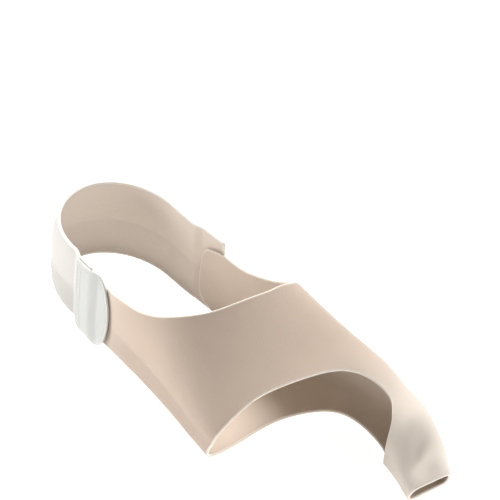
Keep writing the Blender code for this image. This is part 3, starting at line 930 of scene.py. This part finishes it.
def stitched(name, lines, look, thread):
    """Stitches along lines of points, as one plain mesh."""
    vertices = np.concatenate(lines)
    edges, first = [], 0
    for line in lines:
        edges += [(first + step, first + step + 1) for step in range(len(line) - 1)]
        first += len(line)
    path = bpy.data.meshes.new(name + "_line")
    path.from_pydata(vertices.tolist(), edges, [])
    carrier = added(name + "_line", path)
    row = carrier.modifiers.new("stitches", "NODES")
    row.node_group = bpy.data.node_groups.get(STITCH_ROW) or stitch_tree(STITCH_ROW)
    values = {
        "Pitch": look.pitch,
        "Length": look.length,
        "Thickness": look.thickness,
        "Thread": strand_material(thread, look.colour, SEWING_THREAD),
    }
    for item in row.node_group.interface.items_tree:
        if item.item_type == "SOCKET" and item.in_out == "INPUT" and item.name in values:
            row[item.identifier] = values[item.name]
    bpy.context.view_layer.update()
    evaluated = carrier.evaluated_get(bpy.context.evaluated_depsgraph_get())
    mesh = bpy.data.meshes.new_from_object(evaluated)
    bpy.data.objects.remove(carrier)
    mesh.name = name
    return added(name, mesh)


def tab_lines(inset):
    """The stitch line round the tab, and a second one beside the seam with the strap."""
    rises, ends = tab_nose(TAB_LENGTH - inset)
    start = path_at(TAB_REAR)
    low = STRAP_FOOT + inset

    def line(paths, shares):
        tops = strap_top(paths) - inset
        heights = low + shares * (tops - low)
        curl = TAB_CURL * (-paths - start) / TAB_LENGTH * (1 - shares) ** 2
        return on_heel(paths, heights, tab_lift(paths, curl) + TAB_WALL + THREAD_LIFT)

    sides = np.linspace(inset, ends[0], SIDE_POINTS)
    across = np.linspace(0, 1, LINE_POINTS)
    border = np.concatenate([sides, ends, sides[::-1]])
    shares = np.concatenate([np.zeros(SIDE_POINTS), rises, np.ones(SIDE_POINTS)])
    rows = [line(-start - border, shares)]
    for step in (inset, inset + SEAM_ROW_GAP):
        rows.append(line(np.full(LINE_POINTS, -start - step), across))
    return rows


def strap_lines(inset):
    """Two stitch lines across the strap's inner end, where it is sewn to the wing."""
    rows = []
    for back in (inset, inset + LAP_ROW_GAP):
        paths = np.full(LINE_POINTS, path_at(STRAP_SEAM) - back)
        heights = np.linspace(STRAP_FOOT + inset, strap_top(paths[0]) - inset, LINE_POINTS)
        rows.append(on_heel(paths, heights, strap_lift(paths) + STRAP_WALL + THREAD_LIFT))
    return rows


def dressed(piece, node):
    """Puts a finished piece on the part in place of its solid."""
    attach(piece, BODY)
    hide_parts(node)


def metres(name, text, default, most):
    return FloatProperty(name=name, description=text, default=default, min=0.0, max=most,
                         precision=5, subtype="DISTANCE", unit="LENGTH")


def colour_of(name, text, default):
    return FloatVectorProperty(name=name, description=text, default=default, size=3,
                               min=0.0, max=1.0, subtype="COLOR")


def share_of(name, text, default):
    return FloatProperty(name=name, description=text, default=default, min=0.0, max=1.0,
                         subtype="FACTOR")


def power_of(name, text, default):
    return FloatProperty(name=name, description=text, default=default, min=0.0, unit="POWER")


class SleeveLook(bpy.types.PropertyGroup):
    wall: metres("Wall", "Thickness of the sleeve's knit", SLEEVE_WALL, 0.01)
    wale: metres("Wale", "Width of one column of loops", 0.0008, 0.01)
    course: metres("Course", "Height of one row of loops", 0.0007, 0.01)
    relief: metres("Relief", "Depth between the loops", 0.00010, 0.001)
    # Edge reach and cut edge colour: a paler cut edge with a painted highlight along it
    edge_highlight_reach: metres("Edge reach", "Width of the paler line along a cut edge", 0.0007, 0.01)
    colour: colour_of("Colour", "The knit's outer face", (0.600, 0.478, 0.385))
    # Drawn out: paler knit over the toe tube and the outer wing, partly drawn out, partly painted
    # light
    drawn_and_lit_colour: colour_of("Drawn out", "The knit's face when stretched", (0.79, 0.705, 0.615))
    lining_colour: colour_of("Lining", "The knit's inner face", (0.66, 0.56, 0.47))
    edge_and_highlight_colour: colour_of("Cut edge", "Thread ends along the cut", (0.82, 0.74, 0.65))
    unevenness: share_of("Unevenness", "Change of tone over the cloth", 0.10)
    roughness: share_of("Roughness", "Roughness of the knit", 0.85)
    sheen: share_of("Sheen", "Light caught by the fuzz", 0.30)


class StrapLook(bpy.types.PropertyGroup):
    wall: metres("Wall", "Thickness of the strap's knit", STRAP_WALL, 0.01)
    wale: metres("Wale", "Width of one column of loops", 0.0011, 0.01)
    course: metres("Course", "Height of one row of loops", 0.0008, 0.01)
    relief: metres("Relief", "Depth between the loops", 0.00014, 0.001)
    # Edge reach and cut edge colour: a paler cut edge with a painted highlight along it
    edge_highlight_reach: metres("Edge reach", "Width of the paler line along a cut edge", 0.0007, 0.01)
    colour: colour_of("Colour", "The strap's outer face", (0.60, 0.575, 0.54))
    drawn_and_lit_colour: colour_of("Drawn out", "The strap's face when stretched", (0.65, 0.62, 0.58))
    lining_colour: colour_of("Lining", "The strap's inner face", (0.76, 0.68, 0.60))
    edge_and_highlight_colour: colour_of("Cut edge", "Thread ends along the cut", (0.90, 0.84, 0.77))
    unevenness: share_of("Unevenness", "Change of tone over the cloth", 0.08)
    roughness: share_of("Roughness", "Roughness of the knit", 0.85)
    sheen: share_of("Sheen", "Light caught by the fuzz", 0.30)


class TabLook(bpy.types.PropertyGroup):
    wall: metres("Wall", "Thickness of the tab", TAB_WALL, 0.01)
    wale: metres("Wale", "Width of one rib of the backing", 0.0006, 0.01)
    course: metres("Course", "Height of one row of the backing", 0.0006, 0.01)
    relief: metres("Relief", "Depth between the ribs", 0.00008, 0.001)
    # Edge reach and the welded border's colour: a paler border with a painted highlight along it
    edge_highlight_reach: metres("Edge reach", "Width of the paler line along a cut edge", 0.0006, 0.01)
    colour: colour_of("Colour", "The tab's outer face", (0.62, 0.63, 0.60))
    drawn_and_lit_colour: colour_of("Drawn out", "The tab's face where it is stretched", (0.66, 0.67, 0.64))
    lining_colour: colour_of("Hooks", "The tab's hook face", (0.55, 0.52, 0.47))
    edge_and_highlight_colour: colour_of("Cut edge", "The welded border", (0.74, 0.745, 0.71))
    unevenness: share_of("Unevenness", "Change of tone over the tab", 0.06)
    roughness: share_of("Roughness", "Roughness of the backing", 0.65)
    sheen: share_of("Sheen", "Light caught by the brushed face", 0.15)


class StitchLook(bpy.types.PropertyGroup):
    pitch: metres("Pitch", "Distance from stitch to stitch", 0.0022, 0.02)
    length: metres("Length", "Length of one stitch", 0.0018, 0.02)
    thickness: metres("Thickness", "Thickness of the thread", 0.00042, 0.005)
    inset: metres("Inset", "Distance of a stitch line from the edge", 0.0018, 0.02)
    colour: colour_of("Thread", "Colour of the thread", (0.82, 0.78, 0.70))


class StageLook(bpy.types.PropertyGroup):
    floor_colour: colour_of("Floor", "Colour of the floor", (0.90, 0.90, 0.90))
    floor_glow: share_of("Floor glow", "Light that the floor gives off", 0.85)
    glow: share_of("Glow", "Even light of the surroundings", 0.23)
    outer: power_of("Outer light", "Power of the soft light behind the little-toe side", 5.3)
    inner: power_of("Inner light", "Power of the soft light behind the big-toe side", 13.0)
    front: power_of("Front light", "Power of the low soft light in front of the toes", 2.6)


class CORRECTOR_OT_sleeve(bpy.types.Operator):
    """Builds the sleeve: band, side wings and big-toe tube in one piece of knit"""

    bl_idname = "corrector.sleeve"
    bl_label = "Sleeve"

    def execute(self, context):
        look = context.scene.sleeve_look
        surface = sleeve_surface()
        piece = shell("sleeve", *surface, look.wall, fabric_set("sleeve_knit", look))
        dressed(piece, "foot_sleeve")
        return {"FINISHED"}


class CORRECTOR_OT_strap(bpy.types.Operator):
    """Builds the strap round the heel and the stitches that hold its inner end"""

    bl_idname = "corrector.strap"
    bl_label = "Heel strap"

    def execute(self, context):
        look, thread = context.scene.strap_look, context.scene.stitch_look
        piece = shell("strap", *strap_surface(), look.wall, fabric_set("strap_knit", look))
        dressed(piece, "heel_strap")
        rows = strap_lines(thread.inset)
        stitches = stitched("strap_stitches", rows, thread, "strap_thread")
        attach(stitches, BODY)
        return {"FINISHED"}


class CORRECTOR_OT_tab(bpy.types.Operator):
    """Builds the rounded hook tab with its stitched border"""

    bl_idname = "corrector.tab"
    bl_label = "Hook tab"

    def execute(self, context):
        look, thread = context.scene.tab_look, context.scene.stitch_look
        piece = shell("tab", *tab_surface(), look.wall, fabric_set("hook_fabric", look))
        dressed(piece, "hook_tab")
        rows = tab_lines(thread.inset)
        stitches = stitched("tab_stitches", rows, thread, "tab_thread")
        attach(stitches, BODY)
        return {"FINISHED"}


def away(azimuth, elevation):
    """The way from the target to a place round it."""
    turn, rise = np.radians(azimuth), np.radians(elevation)
    return Vector((np.sin(turn) * np.cos(rise), -np.cos(turn) * np.cos(rise), np.sin(rise)))


class CORRECTOR_OT_stage(bpy.types.Operator):
    """Sets up the floor, the soft lights and the camera"""

    bl_idname = "corrector.stage"
    bl_label = "Stage"

    def execute(self, context):
        look = context.scene.stage_look
        scene = context.scene
        low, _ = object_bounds()
        ground = low.z - FLOOR_DROP
        mesh = bpy.data.meshes.new("floor")
        sides = ((-1, -1), (1, -1), (1, 1), (-1, 1))
        corners = [(x * FLOOR_HALF, y * FLOOR_HALF, ground) for x, y in sides]
        mesh.from_pydata(corners, [], [(0, 1, 2, 3)])
        floor = added("floor", mesh)
        material, tree, surface = plain_material("pale_floor", FLOOR_ROUGHNESS, 0.0)
        grain = noise(tree, object_place(tree), FLOOR_GRAIN, 3)
        link(tree, shaded(tree, grain, look.floor_colour, FLOOR_SHADE), surface["Base Color"])
        surface["Specular IOR Level"].default_value = FLOOR_SPECULAR
        surface["Emission Color"].default_value = (*look.floor_colour, FULL)
        surface["Emission Strength"].default_value = look.floor_glow
        mesh.materials.append(material)
        floor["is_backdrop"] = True

        world = bpy.data.worlds.new("soft_room")
        scene.world = world
        world.use_nodes = True
        backdrop = world.node_tree.nodes["Background"]
        backdrop.inputs["Color"].default_value = (1.0, 1.0, 1.0, 1.0)
        backdrop.inputs["Strength"].default_value = look.glow

        target = Vector(CAMERA_TARGET)
        for row in LIGHTS:
            lamp = bpy.data.lights.new(row.name, "AREA")
            lamp.shape, lamp.size = "DISK", row.size
            lamp.energy = getattr(look, row.name)
            light = added(row.name, lamp)
            way = away(row.azimuth, row.elevation)
            light.location = Vector(LIGHT_CENTRE) + way * row.distance
            light.rotation_mode = "QUATERNION"
            light.rotation_quaternion = way.to_track_quat("Z", "Y")

        back = away(CAMERA_AZIMUTH, CAMERA_ELEVATION)
        right = (-back).cross(Vector((0, 0, 1))).normalized()
        up = right.cross(-back)
        roll = np.radians(CAMERA_ROLL)
        across = right * np.cos(roll) + up * np.sin(roll)
        upward = up * np.cos(roll) - right * np.sin(roll)
        lens = bpy.data.cameras.new("camera")
        lens.lens, lens.sensor_width = CAMERA_LENS, CAMERA_SENSOR
        camera = added("camera", lens)
        spot = target + back * CAMERA_DISTANCE
        camera.matrix_world = Matrix((
            (across.x, upward.x, back.x, spot.x),
            (across.y, upward.y, back.y, spot.y),
            (across.z, upward.z, back.z, spot.z),
            (0, 0, 0, 1),
        ))
        scene.camera = camera
        scene.view_settings.view_transform = "Standard"
        return {"FINISHED"}


class CORRECTOR_PT_panel(bpy.types.Panel):
    bl_idname = "CORRECTOR_PT_panel"
    bl_label = "Bunion corrector"
    bl_space_type = "VIEW_3D"
    bl_region_type = "UI"
    bl_category = "Corrector"

    def draw(self, context):
        for look, (_, operator) in LOOKS.items():
            box = self.layout.box()
            if operator:
                box.operator(operator)
            group = getattr(context.scene, look)
            for name in group.bl_rna.properties.keys():
                if name not in ("rna_type", "name"):
                    box.prop(group, name)


# Each piece's look: its property group, and the operator that uses it
LOOKS = {
    "sleeve_look": (SleeveLook, "corrector.sleeve"),
    "strap_look": (StrapLook, "corrector.strap"),
    "tab_look": (TabLook, "corrector.tab"),
    "stitch_look": (StitchLook, None),
    "stage_look": (StageLook, "corrector.stage"),
}
CLASSES = (
    *(kind for kind, _ in LOOKS.values()),
    CORRECTOR_OT_sleeve,
    CORRECTOR_OT_strap,
    CORRECTOR_OT_tab,
    CORRECTOR_OT_stage,
    CORRECTOR_PT_panel,
)


def register():
    for made in CLASSES:
        bpy.utils.register_class(made)
    for name, (kind, _) in LOOKS.items():
        setattr(bpy.types.Scene, name, PointerProperty(type=kind))


def unregister():
    for name in LOOKS:
        delattr(bpy.types.Scene, name)
    for made in reversed(CLASSES):
        bpy.utils.unregister_class(made)


def main():
    register()
    bpy.ops.corrector.sleeve()
    bpy.ops.corrector.strap()
    bpy.ops.corrector.tab()
    bpy.ops.corrector.stage()


if __name__ == "__main__":
    main()
